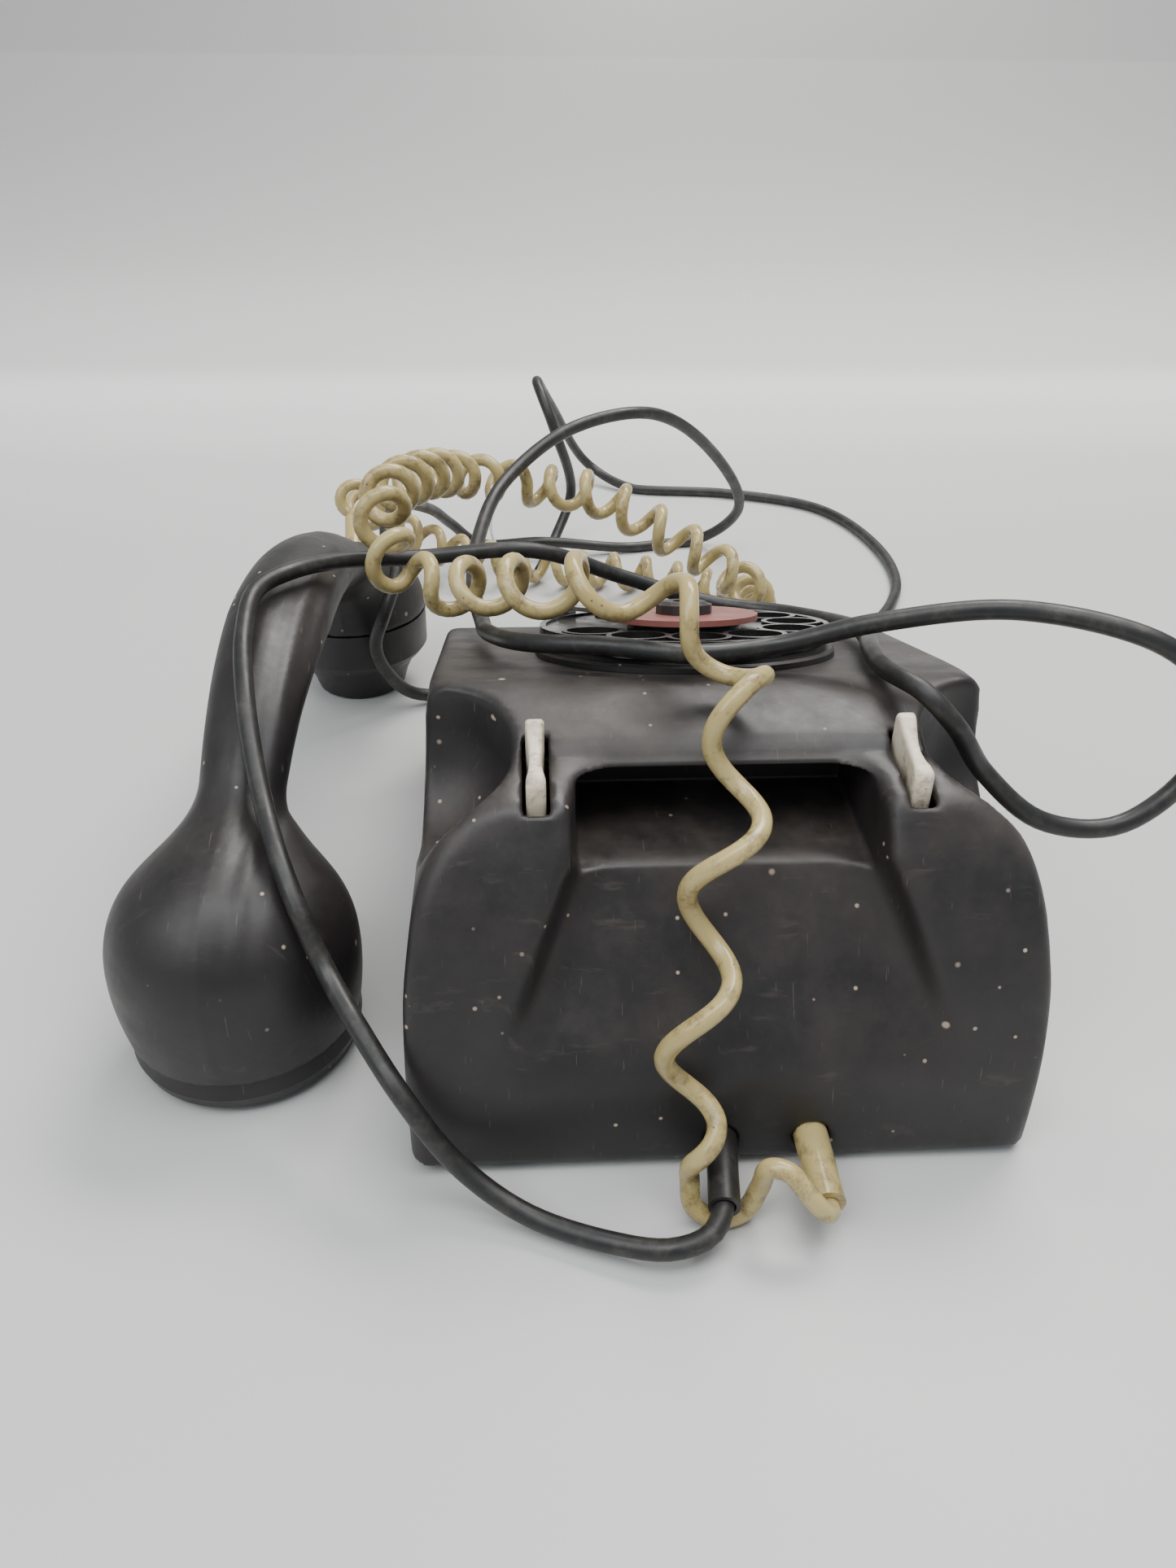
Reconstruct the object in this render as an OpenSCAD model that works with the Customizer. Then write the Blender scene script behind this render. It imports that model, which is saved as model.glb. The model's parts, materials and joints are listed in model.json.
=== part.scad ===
// Rotary telephone off the hook: moulded body with a carrying pocket behind the
// dial, two cradle levers, a curved handset, a coiled handset cord and a line cord.
// Millimetres, +Z up, the dial slopes down towards -Y, floor at Z = 0.

/* [Body] */
// width of the body at its bottom edge
body_w = 139; // [136:1:142]
// depth of the body from front to back
body_d = 180; // [178:1:182]
// wall thickness of the moulded shell
wall = 2.6; // [2.2:0.2:3]
// slope of the dial face from level, degrees
dial_tilt = 19.5; // [19:0.5:20]
// inside width of the carrying pocket
pocket_w = 63.2; // [60:0.4:64]

/* [Dial] */
// outside diameter of the finger wheel
wheel_d = 76; // [74:1:77]
// diameter of each finger hole
hole_d = 13.2; // [12:0.2:13.6]
// number of finger holes
holes = 10; // [8:1:10]
// diameter of the red centre disc
disc_d = 38.4; // [34:0.4:40]

/* [Cradle] */
// distance between the two cradle levers
lever_gap = 80; // [79:0.5:80.5]
// thickness of each lever blade
lever_t = 4.6; // [3.6:0.2:4.6]

/* [Handset] */
// distance between the receiver and transmitter axes
span = 182; // [180:1:184]
// diameter of the rounded receiver end
ball_d = 58.6; // [58:0.2:59]
// width of the handle
grip_w = 26; // [25:0.5:27]

/* [Cords] */
// diameter of the line cord
line_d = 4.6; // [4:0.2:4.8]
// outside diameter of the coiled cord
coil_d = 16.4; // [15:0.4:16.4]
// diameter of the plain lead of the coiled cord
lead_d = 4.3; // [4:0.1:4.4]

/* [Hidden] */
$fn = 64;
hw = body_w / 2;
fy = -body_d / 2;
ry = body_d / 2;
z0 = 2.6;
black = [0.12, 0.11, 0.11];
dark = [0.2, 0.2, 0.21];
ivory = [0.93, 0.87, 0.74];
beige = [0.86, 0.78, 0.55];
steel = [0.68, 0.69, 0.7];
brass_c = [0.8, 0.65, 0.35];
copper = [0.72, 0.42, 0.25];
red = [0.62, 0.25, 0.22];

// outline of the body seen from the side, [y, z]
side_pts = [
  [ry, z0], [ry - 0.8, 12], [ry - 3, 27], [ry - 6.5, 42], [ry - 10, 52],
  [ry - 14, 61], [ry - 18.5, 68.5], [ry - 23, 75], [ry - 27, 79.5],
  [ry - 30, 80.7], [29, 87], [26, 87.3], [23, 87], [20, 86.1], [17, 84.9],
  [fy + 16, 52.6], [fy + 11, 49.6], [fy + 8, 45], [fy + 1, 6], [fy + 1, z0]
];
// half outlines of the body seen from behind, [x, z]
block_pts = [[hw, z0], [hw - 4.4, 78], [hw - 5.2, 83], [hw - 7, 86.5], [hw - 10, 88.6]];
arch_pts = [
  [hw, z0], [hw - 0.3, 27], [hw - 0.9, 42], [hw - 2.1, 52], [hw - 3.7, 61],
  [hw - 6, 68], [hw - 9.5, 73.5], [hw - 13.5, 77.5], [hw - 18.5, 80.6], [hw - 23, 82.6]
];
function mirrored(p) = concat(p, [for (i = [len(p) - 1:-1:0]) [-p[i][0], p[i][1]]]);
function unit2(v) = v / norm(v);
// polygon moved inwards by t (points run anticlockwise)
function inset(p, t) = [for (i = [0:len(p) - 1])
  let (
    a = p[(i + len(p) - 1) % len(p)],
    b = p[i],
    c = p[(i + 1) % len(p)],
    u = unit2(b - a),
    v = unit2(c - b),
    n = [-u[1], u[0]],
    m = [-v[1], v[0]]
  ) b + t * (n + m) / (1 + n * m)];

split_y = 42.4;
scoop_x = hw - 4.5;
scoop_y = 44;
scoop_z = 76;
scoop_r = 20;
pocket_y = 60.8;
pocket_z = 63.6;
pocket_top = 79.4;
pocket_back = 30;
lip_y = 54.2;
trough_a = 54.4;
lever_x = lever_gap / 2;
hook_y = 20;
hook_z = 64;

dial_o = [0, -18.8, 72.2];
face_r = 39.2;
wheel_z = 4.5;
wheel_t = 2.4;
stop_a = -42;

post_x = hw - 6.5;
post_y = 70;

module along_x(w) {
  translate([-w / 2, 0, 0]) rotate([90, 0, 90]) linear_extrude(w) children();
}
module along_y(a, b) {
  translate([0, b, 0]) rotate([90, 0, 0]) linear_extrude(b - a) children();
}
module disc(r, z, h) {
  translate([0, 0, z]) cylinder(r = r, h = h);
}
module ring(ro, ri, z, h) {
  difference() {
    disc(ro, z, h);
    disc(ri, z - 1, h + 2);
  }
}
module box(x, y, z) {
  translate([x[0], y[0], z[0]]) cube([x[1] - x[0], y[1] - y[0], z[1] - z[0]]);
}
module plan(t) {
  rf = 12 - t;
  rr = 5 - t / 2;
  w = hw - t;
  union() {
    translate([-w, fy + t + rf]) square([2 * w, ry - rr - fy - rf - 2 * t]);
    translate([-w + rf, fy + t]) square([2 * (w - rf), rf + 1]);
    translate([-w + rr, ry - t - rr - 1]) square([2 * (w - rr), rr + 1]);
    for (s = [-1, 1]) {
      translate([s * (w - rf), fy + t + rf]) circle(rf);
      translate([s * (w - rr), ry - t - rr]) circle(rr);
    }
  }
}
// the whole body as one solid, its skin moved inwards by t
module form(t) {
  intersection() {
    along_x(2 * body_w) polygon(inset(side_pts, t));
    union() {
      along_y(fy - 1, split_y + 2) polygon(inset(mirrored(block_pts), t));
      along_y(split_y, ry + 1) polygon(inset(mirrored(arch_pts), t));
    }
    linear_extrude(120) plan(t);
  }
}
module scoops(t) {
  for (s = [-1, 1]) translate([s * scoop_x, scoop_y, scoop_z]) {
    cylinder(r = scoop_r + t, h = 40);
    rotate([0, s * 100, 0]) sphere(r = scoop_r + t);
  }
}
// finger space that opens out down the back of the body
module trough(t) {
  a = pocket_w / 2 + t;
  translate([0, pocket_y, pocket_z]) rotate([-trough_a, 0, 0])
    translate([0, 0, -t]) linear_extrude(60)
      polygon([[-a, -30], [a, -30], [a, -t], [a + 2, 4], [a + 9, 22], [a + 19, 44],
        [-a - 19, 44], [-a - 9, 22], [-a - 2, 4], [-a, -t]]);
  box([-a - 0.3, a + 0.3], [lip_y - t, 80], [pocket_z + 3 - t, 110]);
}
module at_dial() {
  translate(dial_o) rotate([dial_tilt, 0, 0]) children();
}
module at_line_gland() {
  translate([0.5, ry - 4, 8.6]) rotate([0, 0, -6]) rotate([-90, 0, 0]) children();
}
module at_coil_gland() {
  translate([-19, ry - 4, 8.6]) rotate([-90, 0, 0]) children();
}
module body_shell() {
  color(black) difference() {
    union() {
      difference() {
        form(0);
        difference() {
          form(wall);
          scoops(wall);
          trough(wall);
        }
        translate([0, 0, z0 - 1]) linear_extrude(5) plan(wall + 0.8);
      }
      for (x = [-post_x, post_x]) for (y = [-post_y, post_y])
        translate([x, y, z0]) cylinder(r = 5, h = 30);
    }
    scoops(0);
    trough(0);
    box([-pocket_w / 2 - 2.4, pocket_w / 2 + 2.4], [pocket_back - 4, pocket_y], [pocket_z - 2.5, pocket_top]);
    at_dial() translate([0, 0, -12]) cylinder(r = 36, h = 30);
    for (s = [-1, 1])
      box([s * lever_x - lever_t / 2 - 0.6, s * lever_x + lever_t / 2 + 0.6], [41.6, 63.4], [50, 96]);
    for (x = [-post_x, post_x]) for (y = [-post_y, post_y])
      translate([x, y, z0 - 1]) cylinder(r = 1.6, h = 16);
    at_line_gland() translate([0, 0, -4]) cylinder(r = 3.5, h = 12);
    at_coil_gland() translate([0, 0, -4]) cylinder(r = 3.9, h = 12);
  }
}
module pocket_liner() {
  color(black) difference() {
    along_x(pocket_w + 4.4) polygon([[pocket_back - 2.2, pocket_z - 2.2], [pocket_y - 0.2, pocket_z - 2.2],
      [pocket_y - 0.2, pocket_z], [lip_y - 4.9, pocket_top - 0.2], [pocket_back - 2.2, pocket_top - 0.2]]);
    box([-pocket_w / 2, pocket_w / 2], [pocket_back, pocket_y + 4], [pocket_z, pocket_top + 1]);
  }
}
module base_plate() {
  color(dark) difference() {
    union() {
      translate([0, 0, 1.2]) linear_extrude(z0 - 1.2) plan(3.5);
      box([-hw + 13, hw - 13], [fy + 13, ry - 13], [0, 1.3]);
    }
    for (x = [-post_x, post_x]) for (y = [-post_y, post_y])
      translate([x, y, 0]) cylinder(r = 1.7, h = 5);
    for (x = [-30:12:30]) translate([x, 0, 0]) box([-1.6, 1.6], [-10, 10], [-1, 5]);
  }
}
module base_screws() {
  color(steel) for (x = [-post_x, post_x]) for (y = [-post_y, post_y]) translate([x, y, 0.4]) {
    difference() {
      cylinder(r = 2.9, h = 0.8);
      translate([-3, -0.4, -0.1]) cube([6, 0.8, 0.5]);
    }
    cylinder(r = 1.55, h = 11);
  }
}

// ---- dial, drawn in its own frame with the face at z = 0 ----
module dial_bezel() {
  color(black) at_dial() rotate_extrude() polygon([
    [30, -4], [35.8, -4], [35.8, 0.1], [face_r, 0.1], [face_r, 1.4], [face_r - 0.7, 2],
    [37, 2], [36.4, 3], [34, 3], [33.4, 1.2], [30, 1.2]]);
}
module number_plate() {
  color([0.16, 0.16, 0.16]) at_dial() rotate_extrude()
    polygon([[13, 1.3], [33.2, 1.3], [33.2, 2.1], [13, 2.1]]);
}
module finger_wheel() {
  pr = 28.6;
  color(black) at_dial() difference() {
    union() {
      disc(wheel_d / 2, wheel_z, wheel_t);
      ring(wheel_d / 2, wheel_d / 2 - 1.6, wheel_z, wheel_t + 0.6);
      for (i = [0:holes - 1]) rotate(i * 30 + 30) translate([pr, 0, 0])
        ring(hole_d / 2 + 1.3, hole_d / 2, wheel_z, wheel_t + 0.8);
      disc(15, wheel_z, wheel_t + 1.2);
    }
    for (i = [0:holes - 1]) rotate(i * 30 + 30) translate([pr, 0, 0])
      disc(hole_d / 2, wheel_z - 1, wheel_t + 4);
    disc(3.02, wheel_z - 1, 9);
  }
}
module centre_disc() {
  color(red) at_dial() difference() {
    union() {
      disc(14, wheel_z + wheel_t + 1.2, 0.5);
      disc(disc_d / 2, wheel_z + wheel_t + 1.7, 1.5);
    }
    disc(3.02, wheel_z, 9);
  }
}
module hub_nut() {
  color(black) at_dial() difference() {
    union() {
      translate([0, 0, wheel_z + wheel_t + 3.2]) cylinder(r = 7.4, h = 2.4, $fn = 12);
      translate([0, 0, wheel_z + wheel_t + 5.6]) cylinder(r1 = 6.6, r2 = 5.4, h = 0.8);
    }
    disc(3.02, wheel_z, 9);
  }
}
module finger_stop() {
  color(steel) at_dial() rotate(stop_a) {
    box([face_r + 0.2, face_r + 1.8], [-3, 3], [0, 9]);
    box([27.4, face_r + 1.8], [-3, 3], [8.6, 9.8]);
    translate([27.4, 0, 8.6]) cylinder(r = 3, h = 1.2);
  }
}
module dial_shaft() {
  color(steel) at_dial() {
    disc(3, -25, 37.2);
    disc(4.6, -1.2, 5.6);
  }
}
function gear_pts(n, r, t) = [for (i = [0:n - 1]) for (k = [0:3])
  let (a = (i + [0, 0.3, 0.5, 0.8][k]) * 360 / n, q = [r - t, r, r, r - t][k]) q * [cos(a), sin(a)]];
module gear(n, r, t, z, h, bore) {
  difference() {
    translate([0, 0, z]) linear_extrude(h) polygon(gear_pts(n, r, t));
    disc(bore, z - 1, h + 2);
  }
}
module main_gear() {
  color(brass_c) at_dial() difference() {
    gear(66, 22, 0.9, -8.5, 1.8, 3);
    for (a = [0:90:270]) rotate(a + 20) translate([12.5, 0, 0]) disc(4, -10, 5);
  }
}
module pulse_cam() {
  color(dark) at_dial() difference() {
    translate([0, 0, -13.6]) linear_extrude(2) polygon([for (a = [0:10:350])
      let (r = a > 40 && (a % 30) == 10 ? 8.6 : 10) r * [cos(a), sin(a)]]);
    disc(3, -15, 5);
  }
}
idler_p = [0, -26.8];
module idler_gear() {
  color(brass_c) at_dial() translate([idler_p[0], idler_p[1], 0]) {
    gear(12, 4.3, 0.8, -8.7, 2.2, 1.1);
    gear(30, 7.6, 0.7, -12, 1.6, 1.1);
    disc(1.2, -22.6, 18.2);
  }
}
gov_p = [12.2, -26.8];
module governor() {
  color(brass_c) at_dial() translate([gov_p[0], gov_p[1], 0]) {
    gear(10, 4, 0.7, -12.2, 2, 0.9);
    disc(1, -22.6, 18.2);
    box([-4.2, 4.2], [-1.4, 1.4], [-20, -18.6]);
    for (s = [-1, 1]) translate([s * 3.4, 0, 0]) disc(1.4, -20, 4.4);
  }
}
module dial_frame() {
  color(steel) at_dial() difference() {
    union() {
      ring(34.4, 24, -5.6, 1.6);
      translate([0, 0, -23]) difference() {
        union() {
          cylinder(r = 26.4, h = 1.6);
          box([-8, 20], [-33, 0], [0, 1.6]);
        }
        for (a = [30:120:270]) rotate(a) translate([16, 0, -1]) cylinder(r = 5, h = 4);
      }
      for (a = [45, 135, 205, 335]) rotate(a) translate([24.8, 0, -23]) cylinder(r = 1.5, h = 18);
      disc(6, -23, 3.4);
      translate([gov_p[0], gov_p[1], -21.6]) difference() {
        cylinder(r = 6.2, h = 7);
        translate([0, 0, 1]) cylinder(r = 5.3, h = 8);
      }
      box([-5, 17], [-31, -23], [-5.6, -4]);
    }
    disc(3.06, -30, 14);
    translate([idler_p[0], idler_p[1], 0]) disc(1.26, -30, 30);
    translate([gov_p[0], gov_p[1], 0]) disc(1.06, -30, 30);
  }
}
module main_spring() {
  color([0.45, 0.47, 0.5]) at_dial() difference() {
    disc(12, -19.4, 4.4);
    disc(3.6, -22, 9);
    for (r = [5.4:2:11]) ring(r + 0.9, r, -17, 4);
  }
}
module pulse_contacts() {
  color(brass_c) at_dial() {
    box([-20.8, -13.4], [-14, -8], [-21.4, -10]);
    for (k = [0:3]) box([-14.6 - k * 2, -14.1 - k * 2], [-9, 9 - k], [-14, -11]);
  }
}

// ---- cradle hook ----
module blade(s) {
  translate([s * lever_x - lever_t / 2, 0, 0]) rotate([90, 0, 90]) linear_extrude(lever_t) polygon([
    [42.6, 69], [42.6, 88], [43.2, 89.2], [45, 89.2], [47.5, 87.5], [50.5, 86.1], [53.5, 85.4],
    [56.5, 85.3], [58.8, 85.4], [60.4, 84.8], [61.2, 83.6], [61.2, 74], [54, 66], [40, 60],
    [hook_y, hook_z - 4], [hook_y - 4, hook_z], [hook_y, hook_z + 4], [36, 69]
  ]);
}
module cradle_lever_left() {
  color(ivory) difference() {
    blade(1);
    translate([0, hook_y, hook_z]) rotate([0, 90, 0]) cylinder(r = 1.8, h = 60);
  }
}
module cradle_lever_right() {
  color(ivory) difference() {
    blade(-1);
    translate([-60, hook_y, hook_z]) rotate([0, 90, 0]) cylinder(r = 1.8, h = 60);
  }
}
module hook_yoke() {
  color(steel) {
    translate([-lever_x - 6, hook_y, hook_z]) rotate([0, 90, 0]) cylinder(r = 1.8, h = 2 * lever_x + 12);
    difference() {
      translate([-lever_x + lever_t / 2 + 0.2, hook_y, hook_z]) rotate([0, 90, 0])
        cylinder(r = 3, h = 2 * lever_x - lever_t - 0.4);
      translate([-50, hook_y, hook_z]) rotate([0, 90, 0]) cylinder(r = 1.8, h = 100);
    }
    box([-4, 4], [hook_y - 0.8, hook_y + 0.8], [hook_z - 20, hook_z - 2.6]);
  }
}
module hook_brackets() {
  color(steel) for (s = [-1, 1]) difference() {
    union() {
      box([s * 45.6 - 0.8, s * 45.6 + 0.8], [hook_y - 6, hook_y + 6], [z0, hook_z + 5]);
      box([s * 42 - 5, s * 42 + 4.4], [hook_y - 6, hook_y + 6], [z0, z0 + 1.4]);
    }
    translate([-60, hook_y, hook_z]) rotate([0, 90, 0]) cylinder(r = 1.86, h = 120);
  }
}
module hook_spring() {
  color(steel) translate([0, hook_y - 2.4, hook_z - 14]) rotate([90, 0, 0]) difference() {
    cylinder(r = 2.6, h = 8);
    translate([0, 0, -1]) cylinder(r = 1.8, h = 10);
  }
}
module hook_contacts() {
  color(brass_c) {
    box([-6, 6], [hook_y - 14, hook_y - 2], [z0, 18]);
    for (k = [0:3]) box([-5, 5], [hook_y - 3.6 - k * 2.2, hook_y - 3.1 - k * 2.2], [17, 46 - k * 2]);
    box([-3, 3], [hook_y - 13.6, hook_y - 12.2], [17, hook_z - 10]);
    box([-3, 3], [hook_y - 13.6, hook_y - 10.4], [hook_z - 17, hook_z - 11]);
  }
}

// ---- ringer and network on the base plate ----
gong_y = -54;
module gong(r) {
  rotate_extrude() polygon([[2.1, 30], [8, 30], [r - 6, 28.6], [r - 1.6, 25], [r, 18],
    [r - 1.2, 18], [r - 2.7, 24.2], [r - 6.6, 27.4], [8, 28.8], [2.1, 28.8]]);
}
module gong_left() {
  color(brass_c) translate([29, gong_y, 0]) gong(23.4);
}
module gong_right() {
  color(brass_c) translate([-29, gong_y, 0]) gong(22.4);
}
module gong_posts() {
  color(steel) for (s = [-1, 1]) translate([s * 29, gong_y, z0]) {
    cylinder(r = 4, h = 26.2);
    cylinder(r = 2, h = 28.6);
    translate([0, 0, 27.4]) cylinder(r = 4, h = 2);
  }
}
coil_y = -22;
module ringer_coils() {
  for (s = [-1, 1]) translate([s * 13, coil_y, 13]) rotate([0, 90, 0]) {
    color(copper) translate([0, 0, -9]) cylinder(r = 7.4, h = 18);
    color(dark) for (z = [-10.4, 9]) translate([0, 0, z]) cylinder(r = 8.6, h = 1.4);
  }
  color(dark) translate([-26, coil_y, 13]) rotate([0, 90, 0]) cylinder(r = 3, h = 52);
}
clapper_y = -39;
module ringer_frame() {
  color(steel) difference() {
    union() {
      box([-30, 30], [-37, -11], [z0, z0 + 1.6]);
      for (s = [-1, 1]) box([s * 27.4 - 1, s * 27.4 + 1], [coil_y - 6, coil_y + 6], [z0, 20]);
      box([-3, 3], [-36.4, -34.4], [z0, 19.6]);
      box([-3, 3], [-42, -34.4], [18, 19.6]);
    }
    translate([-40, coil_y, 13]) rotate([0, 90, 0]) cylinder(r = 3.05, h = 80);
    translate([0, clapper_y, 10]) cylinder(r = 1.06, h = 20);
  }
}
module clapper() {
  color(steel) {
    translate([0, clapper_y, 16.4]) cylinder(r = 1, h = 8);
    translate([0, clapper_y, 20.4]) cylinder(r = 2.2, h = 4.4);
    box([-0.8, 0.8], [-60, clapper_y], [22.2, 23.8]);
    translate([0, -61, 23]) sphere(r = 2.6);
  }
}
module induction_coil() {
  color(copper) translate([-34, 42, 14]) rotate([90, 0, 0]) translate([0, 0, -14]) cylinder(r = 9, h = 28);
  color(dark) for (y = [26.6, 56]) box([-44, -24], [y, y + 1.6], [z0, 25]);
}
module capacitor() {
  color([0.75, 0.76, 0.72]) box([22, 44], [34, 70], [z0, 28]);
  color(dark) for (y = [44, 60]) translate([33, y, 28]) cylinder(r = 2, h = 3);
}
module terminal_board() {
  color([0.35, 0.22, 0.12]) box([-44, 16], [58, 72], [z0, 10]);
  color(brass_c) for (x = [-39:10:11]) translate([x, 65, 10]) cylinder(r = 2.8, h = 2);
}

// ---- glands where the cords leave the back wall ----
module line_gland() {
  color(black) at_line_gland() difference() {
    union() {
      translate([0, 0, -1.8]) cylinder(r = 3.4, h = 22.8);
      translate([0, 0, -1.8]) cylinder(r = 5, h = 1.4);
    }
    translate([0, 0, -3]) cylinder(r = line_d / 2 + 0.2, h = 30);
  }
}
module coil_gland() {
  color(beige) at_coil_gland() difference() {
    union() {
      translate([0, 0, -1.8]) cylinder(r = 3.8, h = 22.8);
      translate([0, 0, -1.8]) cylinder(r = 5.4, h = 1.4);
    }
    translate([0, 0, 8]) cylinder(r = 2.25, h = 30);
  }
}

// ---- handset, lying beside the body on its two caps ----
module at_handset() {
  translate([112, 44, 0]) rotate([0, 0, -92.5]) children();
}
arc_r = 119.5;
arc_c = 92;
arc_top = 75;
half_arc = 44;
grip_t = 10;
module grip() {
  translate([arc_c, 0, arc_top - arc_r]) rotate([90, 0, 0]) rotate([0, 0, 90 - half_arc])
    rotate_extrude(angle = 2 * half_arc) translate([arc_r, 0]) union() {
      for (y = [-1, 1]) translate([0, y * (grip_w / 2 - grip_t)]) circle(grip_t);
      translate([-grip_t, grip_t - grip_w / 2]) square([2 * grip_t, grip_w - 2 * grip_t]);
    }
}
// outline of the rounded receiver end, [radius, height]
bulb_pts = [[0, 10], [27.6, 10], [29, 19], [29.3, 27], [28.6, 34], [26, 41.5], [21, 48],
  [13, 53.5], [5, 56], [0, 56.4]];
head_pts = [[0, 30], [25.2, 30], [25, 34], [23.4, 39.5], [19.8, 44.6], [14, 49], [6, 51.6], [0, 52]];
module at_handset_gland() {
  translate([span + 4, 0, 36.5]) rotate([0, 0, 7.5]) rotate([0, 70.5, 0]) children();
}
module handset_shell() {
  color(black) at_handset() difference() {
    union() {
      rotate_extrude() polygon([for (q = bulb_pts) [q[0] * ball_d / 58.6, q[1]]]);
      grip();
      translate([span, 0, 0]) rotate_extrude() polygon(head_pts);
    }
    rotate_extrude() polygon([[0, 9], [23.6, 9], [23.6, 21], [14, 31], [0, 31]]);
    translate([span, 0, 29]) cylinder(r = 20.9, h = 7);
    at_handset_gland() cylinder(r = 3.55, h = 50);
  }
}
module receiver_cap() {
  color(black) at_handset() difference() {
    rotate_extrude() polygon([[0, 3.4], [10, 3.4], [19, 0.8], [22, 0], [24.4, 0.3],
      [26.6, 2.4], [27.6, 5.6], [26.9, 9.9], [21.6, 9.9], [21.6, 15], [19.8, 15], [19.8, 6], [0, 6]]);
    for (a = [0:60:300]) rotate(a) translate([6, 0, 0]) cylinder(r = 1.1, h = 12);
    cylinder(r = 1.1, h = 12);
  }
}
module receiver_capsule() {
  color(steel) at_handset() {
    translate([0, 0, 6.4]) cylinder(r = 19.4, h = 8);
    translate([0, 0, 14.4]) cylinder(r = 14, h = 4);
  }
}
module transmitter_cap() {
  color(black) at_handset() translate([span, 0, 0]) difference() {
    rotate_extrude() polygon([[0, 2.6], [9, 2.6], [12.6, 0.4], [14.6, 0], [16, 0.8], [17.6, 6],
      [20.2, 11.4], [23.4, 14.6], [25.2, 17], [25.4, 29.9], [20.6, 29.9], [20.6, 35], [18.6, 35],
      [18.6, 16], [12, 8.6], [8, 5.2], [0, 5.2]]);
    for (a = [0:60:300]) rotate(a) translate([4.6, 0, 0]) cylinder(r = 1, h = 12);
    cylinder(r = 1, h = 12);
  }
}
module transmitter_capsule() {
  color(steel) at_handset() translate([span, 0, 0]) {
    translate([0, 0, 20]) cylinder(r = 18, h = 9);
    translate([0, 0, 29]) cylinder(r = 13, h = 5);
  }
}
module handset_gland() {
  color(beige) at_handset() at_handset_gland() difference() {
    translate([0, 0, 12]) cylinder(r = 3.5, h = 24);
    translate([0, 0, 28]) cylinder(r = 2.25, h = 20);
  }
}

// ---- cords, swept along hand-placed points ----
function unit3(v) = v / norm(v);
function tangent(p, i) = unit3(p[min(i + 1, len(p) - 1)] - p[max(i - 1, 0)]);
// a side vector carried along the path so that the rings do not twist
function side(p, i) = i == 0
  ? unit3(cross(tangent(p, 0), [0.3, 0.2, 1]))
  : let (s = side(p, i - 1), t = tangent(p, i)) unit3(s - (s * t) * t);
// tube of n sides along p, thin for its first few rings and thick after them
module tube(p, d, n, thin = 0, thin_d = 0) {
  s = [for (i = [0:len(p) - 1]) side(p, i)];
  rings = [for (i = [0:len(p) - 1]) for (k = [0:n - 1])
    let (
      a = 360 * k / n,
      r = (i < thin ? thin_d : d) / 2,
      w = cross(tangent(p, i), s[i])
    ) p[i] + r * (cos(a) * s[i] + sin(a) * w)];
  m = len(p);
  faces = concat(
    [for (i = [0:m - 2]) for (k = [0:n - 1])
      [i * n + k, (i + 1) * n + k, (i + 1) * n + (k + 1) % n]],
    [for (i = [0:m - 2]) for (k = [0:n - 1])
      [i * n + k, (i + 1) * n + (k + 1) % n, i * n + (k + 1) % n]],
    [[for (k = [0:n - 1]) k]],
    [[for (k = [n - 1:-1:0]) (m - 1) * n + k]]);
  polyhedron(points = rings, faces = faces, convexity = 8);
}
line_path = [
  [1.7, 97.5, 8.6], [2.6, 106, 8.4], [6, 112, 7], [14, 114, 5.4], [26, 111, 4],
  [44, 103.5, 4.4], [58, 96.5, 12], [68.4, 91.6, 27], [78, 79, 34], [86.8, 65, 39.6],
  [92.4, 57.6, 50.4], [97.2, 48, 57.2], [101.6, 36, 61.4], [106, 22, 69], [109.4, 7, 77.6],
  [111.8, -10, 84], [111, -27, 87.8], [104, -36, 88.6], [92, -51, 85.2], [72, -60, 82],
  [40, -62, 83], [12, -74, 69], [-14, -74, 60.5], [-38, -62, 62], [-49, -36, 70.5],
  [-46, -10, 80], [-41, 10, 87], [-39.6, 26, 90.6], [-44.6, 39.8, 92], [-51.2, 44, 86],
  [-61.5, 41, 71.5], [-76, 44, 60], [-94, 45, 59], [-109, 42, 71], [-110, 42, 88],
  [-96, 40, 102], [-68, 27, 105], [-38, 20, 99], [-16, 16, 91.4], [4, 19, 91.2],
  [22, 12.5, 90.2], [41, 2, 86], [51, -20, 77.6], [54, -44, 69.6], [57, -68, 68],
  [57, -102, 69], [48, -140, 76], [24, -166, 86], [-6, -184, 86], [-34, -212, 63],
  [-54, -246, 24], [-40, -262, 4], [-6, -256, 2.6], [34, -250, 8.2], [62, -256, 5],
  [74, -242, 20], [80, -222, 34], [85, -200, 45], [88, -178, 54.5], [89.6, -154, 60],
  [90, -134, 60], [85.4, -118, 53], [89.6, -106, 42], [93.6, -107, 30], [91, -111, 17],
  [82, -117, 5], [46, -126, 2.6], [-20, -132, 2.6], [-84, -156, 2.6], [-118, -204, 2.6], [-122, -256, 2.6],
  [-104, -304, 2.6], [-60, -326, 2.6], [-14, -334, 2.6], [8, -350, 10], [28, -318, 50],
  [35, -276, 72], [28, -262, 56], [20, -276, 22], [28, -262, 5], [36, -230, 2.4]
];
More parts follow.
